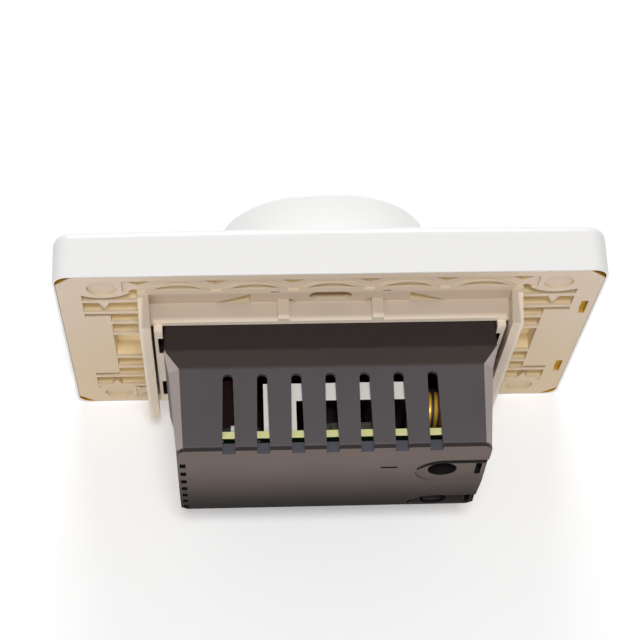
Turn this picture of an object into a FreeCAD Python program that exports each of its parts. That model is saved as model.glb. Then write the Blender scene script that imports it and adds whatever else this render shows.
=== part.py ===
import FreeCAD, Part
import math
import os

# Rotary light dimmer on a rectangular wall plate, in millimetres.
# X runs along the plate, Z up the wall, Y into the wall: the knob faces -Y.
# The origin is the centre of the wall plane, where the plate's rim ends.

# Front plate
plate_length = 118.0
plate_width = 72.0
plate_edge_depth = 11.1
plate_crown = 0.5
plate_wall = 1.4
plate_skin = 2.0
plate_corner_radius = 3.6
plate_edge_fillet = 2.8
plate_shaft_opening = 5.5
rim_lip = 0.5
rim_depth = 1.1

# Snap hooks inside the two short walls of the plate
hook_places = (16.1, -17.7)
hook_length = 4.6
hook_reach = 0.9
hook_height = 1.5
hook_setback = 2.2
hook_room = 0.9

# Knob
knob_radius = 24.2
knob_draft = 0.3
knob_height = 14.1
knob_gap = 0.35
knob_edge_radius = 1.5
knob_wall = 2.0
knob_top = 2.2
knob_hub_radius = 6.4
knob_rib_count = 6
knob_rib_thickness = 1.4
knob_rib_setback = 2.0
pointer_start = 11.0
pointer_length = 8.5
pointer_width = 1.5
pointer_depth = 0.6

# Sleeve between the knob and the shaft
sleeve_radius = 4.4
sleeve_length = 9.0
sleeve_clearance = 0.03
sleeve_top_gap = 0.4

# Mounting frame
frame_clearance = 0.1
frame_wall = 1.5
frame_floor = 1.5
frame_corner_cut = 2.6
flange_corner_cut = 3.6
pocket_depth = 4.0
frame_shaft_opening = 5.0

# Skirt that stands from the frame round the housing
skirt_height = 4.5
skirt_thickness = 1.6
skirt_clearance = 0.2
well_gap = 1.8
cheek_setback = 1.2
cheek_thickness = 2.4
cheek_lean = 0.5
cheek_half_length = 26.7
cheek_height = 8.0
post_place = 10.2
post_width = 2.5
post_depth = 1.3

# Catch wall beside each short wall of the housing
catch_gap = 0.25
catch_thickness = 1.85
catch_height = 6.0
slit_place = 12.4
slit_width = 8.4
slit_reach = 1.1
nose_reach = 0.7
nose_length = 6.0
nose_height = 2.0
nose_place = 3.0

# Rib windows at the two ends of the frame
window_narrow_reach = 6.3
window_wide_reach = 11.9
window_near = 15.2
window_far = 17.4
window_top = 28.2
boss_reach = 7.3
boss_level = 32.9
boss_radius = 7.8
disc_level = 29.8
disc_radius = 3.2
disc_depth = 0.6
rib_thickness = 1.0
rib_levels = (6.8, 12.85, 18.4, 24.3)
rib_shift = -1.1
tooth_width = 2.4
tooth_drop = 3.2

# Slotted holes for the two fixing screws
fixing_reach = 3.0
fixing_hole_radius = 2.1
fixing_slot_length = 5.8

# Small pockets beside the frame's -X edge
edge_pocket_places = (16.6, -17.6)
edge_pocket_length = 6.6
edge_pocket_width = 1.6
edge_pocket_strip = 0.45
edge_pocket_depth = 1.2

# Relief along the two long rims
scallop_pitch = 16.4
scallop_radius = 8.2
scallop_level = 23.4
band_low = 27.6
band_high = 33.2
band_half_length = 44.5
band_depth = 0.5
crescent_half_width = 5.3
crescent_height = 2.1
crescent_top = 30.9
crescent_depth = 1.6
lens_half_width = 2.4
lens_height = 2.0
lens_level = 31.2
lens_depth = 1.6
pry_slot_level = 24.7
pry_slot_length = 9.1
pry_slot_width = 3.7
ramp_low_end = 25.0
ramp_high_end = 17.3
ramp_level = 26.0
ramp_depth = 3.0
island_half = 9.0
island_cut = 1.7
nick_place = 12.0
nick_width = 1.8
nick_level = 26.7
nick_height = 0.9

# Housing shell
housing_wall = 1.6
housing_front = 1.8
collar_half = 36.1
collar_half_height = 19.9
collar_end = 10.6
collar_corner = 0.4
shoulder_end = 14.4
shoulder_inset = 0.9
shoulder_corner = 2.35
body_inset = 0.3
end_draft = 1.7
rear_corner = 1.4
corner_slope = 1.24
housing_depth = 33.2
seam_cut = 0.35
housing_shaft_opening = 4.2
slot_count = 7
slot_pitch = 7.33
slot_shift = 0.45
slot_width = 2.2
slot_rear_width = 2.8
slot_start = 15.7
board_rib_width = 1.2
board_rib_reach = 0.5
board_rib_level = 13.0
board_rib_place = 17.0

# Rear cover
cover_flange = 0.7
cover_plug = 1.6
cover_clearance = 0.15
cover_post_radius = 1.2
cover_post_inset = 5.2
weld = 0.5
rear_crown = 0.75
recess_tops = (12.2, -11.7)
recess_depth = 0.8
recess_slope = 0.085
recess_radius = 6.4
recess_setback = 0.4
recess_groove_width = 0.9
recess_groove_depth = 0.7
window_slot_reach = 1.5
window_slot_width = 1.3
window_slot_length = 5.6
vent_count = 7
vent_pitch = 4.8
vent_first = 11.8
vent_inset = 1.15
vent_width = 1.3
vent_length = 2.2
dash_start = 10.3
dash_length = 3.6
dash_level = 8.8
dash_width = 1.0
dash_depth = 0.3

# Circuit board
board_thickness = 1.6
board_back_gap = 1.1
board_end_gap = 0.5
board_side_gap = 0.3
board_corner_cut = 1.6
pin_clearance = 0.15
pin_past_board = 0.7
pin_half = 0.35

# Potentiometer and its shaft
shaft_radius = 3.0
shaft_clearance = 0.05
shaft_flat = 1.0
shaft_flat_length = 11.0
shaft_tip_gap = 0.8
rotor_radius = 6.2
rotor_thickness = 1.6
rotor_room = 0.2
can_radius = 8.0
can_height = 6.4
can_roof = 1.2
bush_radius = 3.5
bush_length = 7.4
bush_clearance = 0.1
nut_across_flats = 10.0
nut_thickness = 2.4
washer_radius = 5.6
washer_thickness = 0.6
can_pin_spread = 5.0
can_pin_level = -4.0

# Bracket that carries the potentiometer over the board
bracket_height = 10.9
bracket_left = -16.0
bracket_right = 14.9
bracket_half_width = 17.3
bracket_plate = 2.2
bracket_rim = 1.8
bracket_rim_wall = 1.4
bracket_leg_start = 7.9
bracket_back_leg = (-11.4, 9.2, 13.0)

# Terminals
terminal_levels = (5.8, -15.4)
block_end_gap = 0.1
block_length = 15.0
terminal_reach = 9.4
block_half_width = 3.4
block_depth = 15.0
block_room = 0.15
cover_seat_gap = 0.05
well_depth = 3.5
well_radius = 3.1
shelf_thickness = 0.8
cage_bay_reach = 3.8
cage_bay_wall = 1.8
cage_bay_half = 2.95
cage_length = 7.2
cage_half_width = 2.75
cage_wall = 0.8
cage_end_wall = 1.2
cage_lift = 0.2
cage_travel = 2.8
wire_radius = 1.9
strap_thickness = 0.8
strap_half_width = 1.7
strap_clearance = 0.1
strap_tail_reach = 1.1
screw_head_radius = 2.9
screw_head_thickness = 1.6
screw_shank_radius = 1.75
screw_clearance = 0.05
screw_slot_width = 0.8
screw_slot_depth = 0.8
ledge_length = 2.6
ledge_thickness = 2.0
ledge_levels = (-9.0, -1.0)
bridge_height = 9.0
screw_access_radius = 3.2

# Choke: a ferrite rod with one layer of thick wire
choke_reach = 11.0
choke_length = 12.4
choke_level = 13.55
choke_rod_radius = 3.3
choke_wire_radius = 0.45
choke_wire_gap = 0.45
choke_wire_seat = 0.05
choke_turns = 7
choke_wire_sides = 8
choke_lift = 1.15

# Film capacitor, thermal fuse and the other parts on the board
film_size = (10.0, 13.8, 18.0)
film_inset = 9.0
film_level = 5.4
film_chamfer = 0.8
film_pin_spread = 7.5
thermal_fuse_radius = 0.95
thermal_fuse_length = 4.6
thermal_fuse_place = (20.1, 16.2)
snubber_size = (5.0, 6.6, 7.0)
snubber_place = (11.4, 4.6)
snubber_pin_spread = 2.5
chip_size = (9.6, 2.4, 6.2)
chip_place = (-4.4, 11.6)
chip_lift = 0.3
chip_pin_pitch = 2.54
electrolytic_radius = 3.15
electrolytic_height = 11.0
electrolytic_place = (18.2, -14.3)
electrolytic_groove = 0.35
electrolytic_pin_spread = 1.25
varistor_radius = 4.0
varistor_thickness = 3.0
varistor_place = (25.9, -14.4)
varistor_lift = 1.0
varistor_chamfer = 0.8
fuse_radius = 2.4
fuse_length = 18.0
fuse_place = (-3.4, -12.8)
fuse_lift = 0.9
fuse_cap_length = 4.0
fuse_cap_wall = 0.3
fuse_cap_clearance = 0.02
clip_thickness = 0.4
resistor_radius = 1.15
resistor_length = 6.2
resistor_spots = ((-10.4, -4.4), (-13.2, -4.4), (-12.9, 6.4))
diode_radius = 1.3
diode_length = 4.6
diode_spots = ((10.0, -5.4), (13.4, -5.4))
lead_half = 0.3
lead_bend = 1.8

# Triac on its heat sink
sink_inset = 1.4
sink_length = 13.4
sink_thickness = 1.4
sink_level = -6.6
sink_height = 21.0
sink_foot = 0.6
sink_fold = 9.0
triac_width = 10.0
triac_reach = 7.2
triac_body_height = 9.0
triac_body_thickness = 4.4
triac_tab_height = 6.4
triac_tab_thickness = 1.3
triac_lift = 4.0
triac_pin_pitch = 2.54
triac_screw_radius = 1.5
triac_screw_head = 2.8
triac_screw_head_thickness = 1.8

# Planes worked out from the sizes above
plate_inside = -(plate_edge_depth - plate_skin)
plate_front = -(plate_edge_depth + plate_crown)
frame_half_length = plate_length / 2 - plate_wall - frame_clearance
frame_half_width = plate_width / 2 - plate_wall - frame_clearance
frame_front = plate_inside + frame_clearance
floor_rear = -pocket_depth
floor_front = floor_rear - frame_floor
shoulder_half = collar_half - shoulder_inset
rear_half = shoulder_half - end_draft
body_half_height = collar_half_height - body_inset
well_half = collar_half + well_gap
cheek_inner = well_half + cheek_setback
cheek_outer = cheek_inner + cheek_thickness
window_inner_end = cheek_outer + window_narrow_reach
window_outer_end = cheek_outer + window_wide_reach
boss_place = cheek_outer + boss_reach
fixing_place = cheek_outer + fixing_reach
skirt_inner = collar_half_height + skirt_clearance
skirt_outer = skirt_inner + skirt_thickness
shell_end = housing_depth - cover_flange
cover_inside = shell_end - cover_plug
board_rear = cover_inside - board_back_gap
board_front = board_rear - board_thickness
board_half_length = rear_half - housing_wall - board_end_gap
board_half_width = body_half_height - housing_wall - board_side_gap
rear_peak = housing_depth + rear_crown
vent_place = rear_half - vent_inset
block_outer = block_end_gap - rear_half
block_inner = block_outer + block_length
terminal_place = block_outer + terminal_reach
window_slot_place = block_outer + window_slot_reach
recess_place = terminal_place - recess_setback
cage_bay_outer = block_outer + cage_bay_reach
cage_bay_inner = block_inner - cage_bay_wall
strap_tail = block_inner + strap_tail_reach
choke_left = block_inner - choke_reach
film_place = (board_half_length - film_inset, film_level)
sink_right = board_half_length - sink_inset
sink_left = sink_right - sink_length
triac_centre = sink_left + triac_reach
knob_base = plate_front - knob_gap
knob_front = knob_base - knob_height
bracket_front = board_front - bracket_height
can_front = bracket_front + bracket_plate
block_top = cover_inside - cover_seat_gap
block_bottom = block_top - block_depth
shelf_top = block_top - well_depth
shelf_bottom = shelf_top - shelf_thickness
cage_bottom = block_bottom + cage_lift
chamber_bottom = cage_bottom + cage_end_wall
chamber_top = chamber_bottom + 2 * wire_radius
strap_top = chamber_top + strap_thickness
cage_roof = strap_top + 2 * cage_lift
cage_top = cage_roof + cage_end_wall
wire_level = chamber_bottom + wire_radius
choke_axis = board_front - choke_lift - choke_rod_radius - choke_wire_seat - 2 * choke_wire_radius

# Each lead or pin that enters the board is noted here as x, z, half width, half length
board_holes = []


def vec(x, y, z):
    return FreeCAD.Vector(x, y, z)


def block(x0, x1, y0, y1, z0, z1):
    return Part.makeBox(x1 - x0, y1 - y0, z1 - z0, vec(x0, y0, z0))


def rod_y(radius, y0, y1, x=0.0, z=0.0):
    return Part.makeCylinder(radius, y1 - y0, vec(x, y0, z), vec(0, 1, 0))


def rod_x(radius, x0, x1, y, z):
    return Part.makeCylinder(radius, x1 - x0, vec(x0, y, z), vec(1, 0, 0))


def rod_z(radius, z0, z1, x, y):
    return Part.makeCylinder(radius, z1 - z0, vec(x, y, z0), vec(0, 0, 1))


def prism(points, y0, y1):
    """Solid with an outline of x, z corners, from y0 to y1."""
    wire = Part.makePolygon([vec(x, y0, z) for x, z in points + [points[0]]])
    return Part.Face(wire).extrude(vec(0, y1 - y0, 0))


def slot_y(x, z, length, radius, y0, y1):
    """Round-ended slot that is long in X."""
    reach = length / 2 - radius
    body = block(x - reach, x + reach, y0, y1, z - radius, z + radius)
    return body.fuse([rod_y(radius, y0, y1, x - reach, z), rod_y(radius, y0, y1, x + reach, z)])


def flipped(shape, normal):
    return shape.mirror(vec(0, 0, 0), normal)


def in_x(shape):
    """The shape and its mirror image across the plane x = 0."""
    return [shape, flipped(shape, vec(1, 0, 0))]


def in_four(shape):
    """The shape and its mirror images across x = 0 and z = 0."""
    pair = in_x(shape)
    return pair + [flipped(s, vec(0, 0, 1)) for s in pair]


def joined(shapes):
    whole = shapes[0].fuse(shapes[1:]) if len(shapes) > 1 else shapes[0]
    return whole.removeSplitter()


def board_pin(x, z, start, half=pin_half):
    """Square pin through the board, and the hole that it needs."""
    board_holes.append((x, z, half, half))
    return block(x - half, x + half, start, board_rear + pin_past_board, z - half, z + half)


def lead_pair(spot, half_span, along_x, level):
    """The two leads of a lying part: each runs out of an end and turns down through the board."""
    x, z = spot
    h = lead_half
    foot = board_rear + pin_past_board
    leads = []
    for side in (-1, 1):
        near, far = sorted((side * half_span, side * (half_span + lead_bend)))
        tip = side * (half_span + lead_bend)
        if along_x:
            arm = block(x + near, x + far, level - h, level + h, z - h, z + h)
            leg = block(x + tip - h, x + tip + h, level - h, foot, z - h, z + h)
            board_holes.append((x + tip, z, h, h))
        else:
            arm = block(x - h, x + h, level - h, level + h, z + near, z + far)
            leg = block(x - h, x + h, level - h, foot, z + tip - h, z + tip + h)
            board_holes.append((x, z + tip, h, h))
        leads += [arm, leg]
    return leads


def crowned_block(half_length, half_width, edge_depth, crown):
    """Rectangular block from the wall plane forward, its front bowed along X."""
    a = vec(-half_length, 0, -half_width)
    b = vec(-half_length, -edge_depth, -half_width)
    top = vec(0, -edge_depth - crown, -half_width)
    c = vec(half_length, -edge_depth, -half_width)
    d = vec(half_length, 0, -half_width)
    edges = [Part.makeLine(a, b), Part.Arc(b, top, c).toShape(), Part.makeLine(c, d), Part.makeLine(d, a)]
    return Part.Face(Part.Wire(edges)).extrude(vec(0, 0, 2 * half_width))


def along_y(edge):
    ends = edge.Vertexes
    if len(ends) != 2:
        return False
    step = ends[1].Point - ends[0].Point
    return abs(step.x) < 1e-6 and abs(step.z) < 1e-6


def plate_hook(side, level):
    """Wedge on the inside of a short wall, which catches the frame."""
    inside = plate_length / 2 - plate_wall
    low = -(hook_setback + hook_height)
    corners = [(inside + 0.2, -hook_setback), (inside - hook_reach, -hook_setback - hook_height / 2), (inside + 0.2, low)]
    wire = Part.makePolygon([vec(side * x, y, level - hook_length / 2) for x, y in corners + [corners[0]]])
    return Part.Face(wire).extrude(vec(0, 0, hook_length))


def front_plate():
    body = crowned_block(plate_length / 2, plate_width / 2, plate_edge_depth, plate_crown)
    corners = [e for e in body.Edges if along_y(e)]
    body = body.makeFillet(plate_corner_radius, corners)
    rim = [e for e in body.Edges if e.BoundBox.YMax < -plate_edge_depth + 0.5]
    body = body.makeFillet(plate_edge_fillet, rim)
    half_l = plate_length / 2 - plate_wall
    half_w = plate_width / 2 - plate_wall
    cavity = block(-half_l, half_l, plate_inside, 1, -half_w, half_w)
    cavity = cavity.makeFillet(plate_corner_radius - plate_wall, [e for e in cavity.Edges if along_y(e)])
    seat_l = plate_length / 2 - rim_lip
    seat_w = plate_width / 2 - rim_lip
    seat = block(-seat_l, seat_l, -rim_depth, 1, -seat_w, seat_w)
    seat = seat.makeFillet(plate_corner_radius - rim_lip, [e for e in seat.Edges if along_y(e)])
    body = body.cut([cavity, seat, rod_y(plate_shaft_opening, plate_front - 1, 1)])
    hooks = [plate_hook(side, level) for side in (-1, 1) for level in hook_places]
    return joined([body] + hooks)


def knob():
    body = Part.makeCone(knob_radius, knob_radius - knob_draft, knob_height, vec(0, knob_base, 0), vec(0, -1, 0))
    rim = [e for e in body.Edges if e.BoundBox.YMax < knob_front + 0.1 and len(e.Vertexes) == 1]
    body = body.makeFillet(knob_edge_radius, rim)
    roof = knob_front + knob_top
    ring = rod_y(knob_radius - knob_wall, roof, knob_base + 1).cut(rod_y(knob_hub_radius, roof - 1, knob_base + 2))
    body = body.cut(ring)
    ribs = []
    for i in range(knob_rib_count):
        rib = block(knob_hub_radius - 1, knob_radius - knob_wall / 2, roof - knob_top / 2,
                    knob_base - knob_rib_setback, -knob_rib_thickness / 2, knob_rib_thickness / 2)
        rib.rotate(vec(0, 0, 0), vec(0, 1, 0), 360 * (i + 0.5) / knob_rib_count)
        ribs.append(rib)
    body = joined([body] + ribs)
    bore = rod_y(sleeve_radius, sleeve_end() - sleeve_top_gap, knob_base + 1)
    groove = block(-pointer_width / 2, pointer_width / 2, knob_front - 1, knob_front + pointer_depth,
                   pointer_start, pointer_start + pointer_length)
    return body.cut([bore, groove])


def sleeve_end():
    """Front end of the sleeve, under the knob's front."""
    return knob_front + knob_top


def shaft_tip():
    return sleeve_end() + shaft_tip_gap


def flatted_rod(radius, flat_level, y0, y1):
    """Round rod with one flat, as on the end of the shaft."""
    return rod_y(radius, y0, y1).cut(block(-radius, radius, y0 - 1, y1 + 1, flat_level, radius + 1))


def knob_insert():
    outer = rod_y(sleeve_radius - sleeve_clearance, sleeve_end(), sleeve_end() + sleeve_length)
    flat_level = shaft_radius - shaft_flat + sleeve_clearance
    return outer.cut(flatted_rod(shaft_radius + sleeve_clearance, flat_level, sleeve_end() - 1,
                                 sleeve_end() + sleeve_length + 1))


def scallop_centres():
    return [i * scallop_pitch for i in range(-2, 3)]


def rim_relief():
    """Cuts of the +Z rim: a shallow band with round scallops, crescents and lens pockets."""
    band = block(-band_half_length, band_half_length, -band_depth, 1, band_low, band_high)
    discs = [rod_y(scallop_radius, -band_depth - 1, 2, x, scallop_level) for x in scallop_centres()]
    cuts = [band.cut(discs)]
    half = crescent_half_width
    radius = (half * half + crescent_height * crescent_height) / (2 * crescent_height)
    for x in scallop_centres():
        arc_disc = rod_y(radius, -crescent_depth, 1, x, crescent_top - radius)
        keep = block(x - half, x + half, -crescent_depth, 1, crescent_top - crescent_height, crescent_top + 1)
        cuts.append(arc_disc.common(keep))
    for i in range(-3, 3):
        x = (i + 0.5) * scallop_pitch
        w, h = lens_half_width, lens_height / 2
        cuts.append(prism([(x - w, lens_level + h), (x, lens_level - h), (x + w, lens_level + h)], -lens_depth, 1))
    return cuts


def rim_notches():
    """Cuts of the +Z rim at the skirt: pry slot, ramps, island corners and nicks."""
    cuts = [slot_y(0, pry_slot_level, pry_slot_length, pry_slot_width / 2, floor_front - 1, 1)]
    ramp = prism([(ramp_low_end, skirt_outer), (ramp_high_end, ramp_level), (ramp_high_end, skirt_outer)], -ramp_depth, 1)
    corner = prism([(island_half, skirt_outer), (island_half, skirt_outer + island_cut),
                    (island_half - island_cut, skirt_outer)], -ramp_depth, 1)
    nick = block(nick_place - nick_width / 2, nick_place + nick_width / 2, -ramp_depth, 1,
                 nick_level - nick_height / 2, nick_level + nick_height / 2)
    for cut in (ramp, corner, nick):
        cuts += in_x(cut)
    return cuts


def window_cut():
    """The +X end's pocket, with ribs left standing in it."""
    narrow = block(cheek_outer, window_inner_end, floor_rear, 1, -window_top, window_top)
    near = block(window_inner_end - 0.1, window_outer_end, floor_rear, 1, window_near, window_top)
    far = block(window_inner_end - 0.1, window_outer_end, floor_rear, 1, -window_top, -window_far)
    pocket = narrow.fuse([near, far])
    bosses = [rod_y(boss_radius, floor_rear - 1, 2, boss_place, side * boss_level) for side in (-1, 1)]
    ribs = []
    for level in rib_levels:
        for side in (-1, 1):
            z = side * level + rib_shift
            ribs.append(block(cheek_outer - 1, window_outer_end + 1, floor_rear - 1, 2,
                              z - rib_thickness / 2, z + rib_thickness / 2))
    teeth = []
    for side in (-1, 1):
        z = side * (rib_levels[-1] - rib_thickness / 2) + rib_shift
        teeth.append(prism([(boss_place - tooth_width / 2, z), (boss_place + tooth_width / 2, z),
                            (boss_place, z - side * tooth_drop)], floor_rear - 1, 2))
    return pocket.cut(bosses + ribs + teeth)


def corner_disc():
    return rod_y(disc_radius, -disc_depth, 1, boss_place, disc_level)


def hook_windows():
    """Room for the plate's hooks in the frame's short walls."""
    cuts = []
    outer = frame_half_length + 1
    inner = plate_length / 2 - plate_wall - hook_reach - frame_clearance
    low = -(hook_setback + hook_height + frame_clearance)
    for level in hook_places:
        z0, z1 = level - hook_length / 2 - hook_room, level + hook_length / 2 + hook_room
        cuts.append(block(-outer, -inner, low, -hook_setback + frame_clearance, z0, z1))
        cuts.append(block(inner, outer, low, -hook_setback + frame_clearance, z0, z1))
    return cuts


def edge_pockets():
    """Two narrow pockets in the rear of the frame, near its -X edge."""
    outer = edge_pocket_strip - frame_half_length
    return [block(outer, outer + edge_pocket_width, -edge_pocket_depth, 1, place - edge_pocket_length / 2,
                  place + edge_pocket_length / 2) for place in edge_pocket_places]


def skirt():
    """Walls behind the wall plane: two low long walls, two tall cheeks, posts and catch walls."""
    pieces = []
    wall = block(-cheek_inner - weld, cheek_inner + weld, floor_front + weld, skirt_height, skirt_inner, skirt_outer)
    pieces += [wall, flipped(wall, vec(0, 0, 1))]
    post = block(post_place - post_width / 2, post_place + post_width / 2, -1, skirt_height,
                 skirt_outer - 0.2, skirt_outer + post_depth)
    pieces += in_four(post)
    low = floor_front + weld
    section = [(cheek_inner, low), (cheek_outer, low), (cheek_outer, 0), (cheek_outer - cheek_lean, cheek_height),
               (cheek_inner - cheek_lean, cheek_height), (cheek_inner, 0)]
    wire = Part.makePolygon([vec(x, y, -cheek_half_length) for x, y in section + [section[0]]])
    pieces += in_x(Part.Face(wire).extrude(vec(0, 0, 2 * cheek_half_length)))
    inner = collar_half + catch_gap
    wall = block(inner, inner + catch_thickness, low, catch_height, -skirt_inner - weld, skirt_inner + weld)
    slits = [block(inner - 1, inner + slit_reach, floor_rear, catch_height + 1, side * slit_place - slit_width / 2,
                   side * slit_place + slit_width / 2) for side in (-1, 1)]
    nose = Part.Face(Part.makePolygon([
        vec(inner + 0.2, nose_place - nose_height / 2, -nose_length / 2),
        vec(inner - nose_reach, nose_place - nose_height / 2, -nose_length / 2),
        vec(inner + 0.2, nose_place + nose_height / 2, -nose_length / 2),
        vec(inner + 0.2, nose_place - nose_height / 2, -nose_length / 2),
    ])).extrude(vec(0, 0, nose_length))
    pieces += in_x(wall.cut(slits).fuse(nose))
    return pieces


def cut_corners(l, w, c):
    """Rectangle of half sizes l and w, with its four corners cut by c."""
    return [(l, w - c), (l - c, w), (-l + c, w), (-l, w - c), (-l, -w + c), (-l + c, -w), (l - c, -w), (l, -w + c)]


def mounting_frame():
    l, w = frame_half_length, frame_half_width
    body = prism(cut_corners(l, w, frame_corner_cut), frame_front, 0)
    reach = plate_wall - rim_lip
    flange = prism(cut_corners(l + reach, w + reach, flange_corner_cut), frame_clearance - rim_depth, 0)
    body = body.fuse(flange)
    hollow = block(-l + frame_wall, l - frame_wall, frame_front - 1, floor_front, -w + frame_wall, w - frame_wall)
    well = block(-cheek_inner, cheek_inner, floor_rear, 1, -skirt_inner, skirt_inner)
    cuts = [hollow, well, rod_y(frame_shaft_opening, floor_front - 1, 1)]
    for cut in rim_relief() + rim_notches():
        cuts += [cut, flipped(cut, vec(0, 0, 1))]
    cuts += in_x(window_cut())
    cuts += in_four(corner_disc())
    cuts += hook_windows() + edge_pockets()
    for side in (-1, 1):
        cuts.append(slot_y(side * fixing_place, 0, fixing_slot_length, fixing_hole_radius, floor_front - 1, 0))
    body = body.cut(cuts)
    return joined([body] + skirt())


def octagon(y, half, corner, half_height):
    """Section of the housing: a rectangle with its corners cut at one slope."""
    near, drop = half - corner, corner * corner_slope
    points = [(near, half_height), (half, half_height - drop), (half, drop - half_height), (near, -half_height)]
    points += [(-x, z) for x, z in reversed(points)]
    return Part.makePolygon([vec(x, y, z) for x, z in points + [points[0]]])


def side_half(y):
    """Half length of the housing at depth y, along its drafted ends."""
    share = (y - shoulder_end) / (shell_end - shoulder_end)
    return shoulder_half + (rear_half - shoulder_half) * share


def housing_solid(offset, start, end_cut):
    """Loft through the housing's sections, each drawn in by the offset."""
    sections = [
        octagon(start, collar_half - offset, collar_corner, collar_half_height - offset),
        octagon(collar_end, collar_half - offset, collar_corner, collar_half_height - offset),
        octagon(shoulder_end, shoulder_half - offset, shoulder_corner, body_half_height - offset),
    ]
    if end_cut:
        sections.append(octagon(shell_end - end_cut, rear_half - offset, rear_corner, body_half_height - offset))
    sections.append(octagon(shell_end, rear_half - offset - end_cut, rear_corner, body_half_height - offset - end_cut))
    return Part.makeLoft(sections, True, True)


def slot_places():
    return [slot_shift + (i - (slot_count - 1) / 2) * slot_pitch for i in range(slot_count)]


def vent_slot(x):
    """Slot across both long sides, round at its front end and wider towards the rear; one side at the terminals."""
    near, far = slot_width / 2, slot_rear_width / 2
    start, end = slot_start + near, shell_end + 1
    corners = [(x - near, start), (x + near, start), (x + far, end), (x - far, end)]
    wire = Part.makePolygon([vec(a, y, -collar_half_height) for a, y in corners + [corners[0]]])
    body = Part.Face(wire).extrude(vec(0, 0, 2 * collar_half_height))
    body = body.fuse(rod_z(near, -collar_half_height, collar_half_height, x, start))
    if x > block_inner:
        return body
    return body.common(block(x - far, x + far, 0, end, 0, collar_half_height))


def vent_levels():
    return [vent_first - i * vent_pitch for i in range(vent_count)]


def small_vents():
    """Openings in a row beside the +X end of the rear face."""
    return [block(vent_place - vent_width / 2, vent_place + vent_width / 2, cover_inside - 1, rear_peak + 1,
                  z - vent_length / 2, z + vent_length / 2) for z in vent_levels()]


def rear_face(z):
    """Depth of the crowned rear face at that height."""
    return housing_depth + rear_crown * (1 - (z / body_half_height) ** 2)


def terminal_recess(top):
    """Field round one terminal: sunk along its upper line, open to the -X end, rising to the rear face below."""
    low, start = top - 2 * recess_radius, rear_face(top) - recess_depth
    field = block(-collar_half, recess_place, start - 1, rear_peak + 1, low, top)
    field = field.fuse(rod_y(recess_radius, start - 1, rear_peak + 1, recess_place, top - recess_radius))
    end = start + recess_slope * (top - low)
    corners = [(start, top), (end, low), (rear_peak + 2, low), (rear_peak + 2, top)]
    wire = Part.makePolygon([vec(-collar_half, y, z) for y, z in corners + [corners[0]]])
    return field.common(Part.Face(wire).extrude(vec(collar_half, 0, 0)))


def recess_groove(top):
    """Groove along the upper line of that field and round its closed end."""
    floor = rear_face(top) - recess_depth - recess_groove_depth
    width, centre = recess_groove_width, top - recess_radius
    ring = rod_y(recess_radius, floor, rear_peak + 1, recess_place, centre)
    ring = ring.cut(rod_y(recess_radius - width, floor - 1, rear_peak + 2, recess_place, centre))
    ring = ring.common(block(recess_place - 1, recess_place + recess_radius + 1, floor - 1, rear_peak + 1, centre, top + 1))
    return ring.fuse(block(-collar_half, recess_place, floor, rear_peak + 1, top - width, top))


def housing_shell():
    outer = housing_solid(0, floor_rear, seam_cut)
    body = outer.cut(housing_solid(housing_wall, floor_rear + housing_front, 0))
    ribs = []
    for side, levels in ((1, (-board_rib_level, board_rib_level)), (-1, (board_rib_level,))):
        for level in levels:
            x0, x1 = sorted((side * (board_half_length - board_rib_reach), side * collar_half))
            ribs.append(block(x0, x1, floor_rear + 1, board_front, level - board_rib_width / 2,
                              level + board_rib_width / 2))
    for side in (-1, 1):
        z0, z1 = sorted((side * (board_half_width - board_rib_reach), side * collar_half_height))
        ribs.append(block(-board_rib_place - board_rib_width / 2, -board_rib_place + board_rib_width / 2,
                          floor_rear + 1, board_front, z0, z1))
    body = joined([body] + [rib.common(outer) for rib in ribs])
    cuts = [rod_y(housing_shaft_opening, floor_rear - 1, floor_rear + housing_front + 1)]
    cuts += [vent_slot(x) for x in slot_places()]
    for level in terminal_levels:
        reach = block_half_width + block_room
        cuts.append(block(-collar_half, block_inner, block_bottom - block_room, shell_end + 1, level - reach, level + reach))
    catch = block(collar_half - nose_reach, collar_half + 1, nose_place - nose_height / 2 - frame_clearance,
                  nose_place + nose_height / 2 + frame_clearance, -nose_length / 2 - frame_clearance,
                  nose_length / 2 + frame_clearance)
    cuts += in_x(catch)
    return body.cut(cuts).removeSplitter()


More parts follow.
